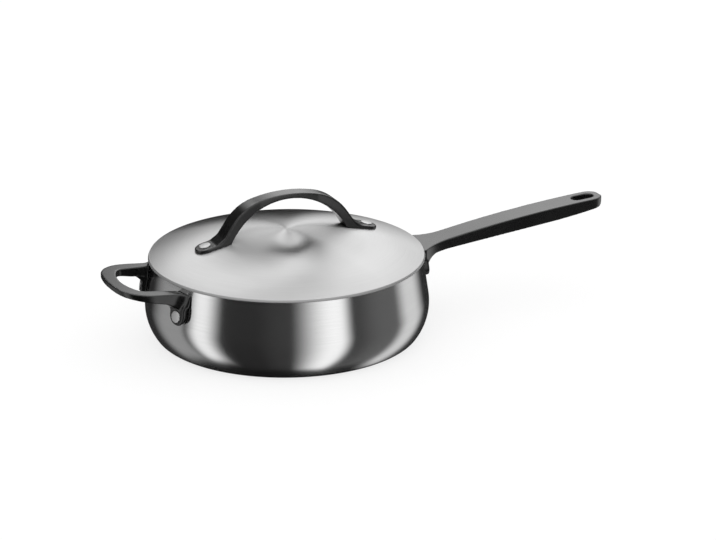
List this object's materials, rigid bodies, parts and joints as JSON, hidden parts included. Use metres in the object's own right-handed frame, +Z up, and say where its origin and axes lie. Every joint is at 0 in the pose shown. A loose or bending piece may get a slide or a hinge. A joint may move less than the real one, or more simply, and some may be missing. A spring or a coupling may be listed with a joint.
{
  "type": "saute pan with lid",
  "caption": "Bellied clad steel saute pan with a flat base, a long riveted bar handle, a riveted loop helper handle and a loose domed lid with an arched riveted handle.",
  "frame": {"origin": "centre of the base, on the surface that the pan stands on", "axes": "+Z up, +X along the long handle away from the pan, +Y completes a right-handed frame"},
  "size_m": [0.4881, 0.2556, 0.132],
  "materials": {
    "outer_steel": "fine brushing around the wall",
    "core_aluminium": "bonded, seen only at the rim's edge",
    "inner_steel": "satin, spun in circles",
    "lid_steel": "satin, spun in circles",
    "handle_black": "satin black on cast metal",
    "rivet_steel": "satin"
  },
  "bodies": {
    "pan": {"pan_outer_shell": "outer_steel", "pan_aluminium_core": "core_aluminium", "pan_inner_liner": "inner_steel", "long_handle": "handle_black", "helper_handle": "handle_black", "long_handle_rivet_front": "rivet_steel", "long_handle_rivet_back": "rivet_steel", "helper_handle_rivet_front": "rivet_steel", "helper_handle_rivet_back": "rivet_steel"},
    "lid": {"lid": "lid_steel", "lid_handle": "handle_black", "lid_handle_rivet_left": "rivet_steel", "lid_handle_rivet_right": "rivet_steel"}
  },
  "joints": [
    {"name": "lid_lift", "type": "slide", "parent": "pan", "child": "lid", "axis": [0, 0, 1], "range_m": [0, 0.15]}
  ]
}
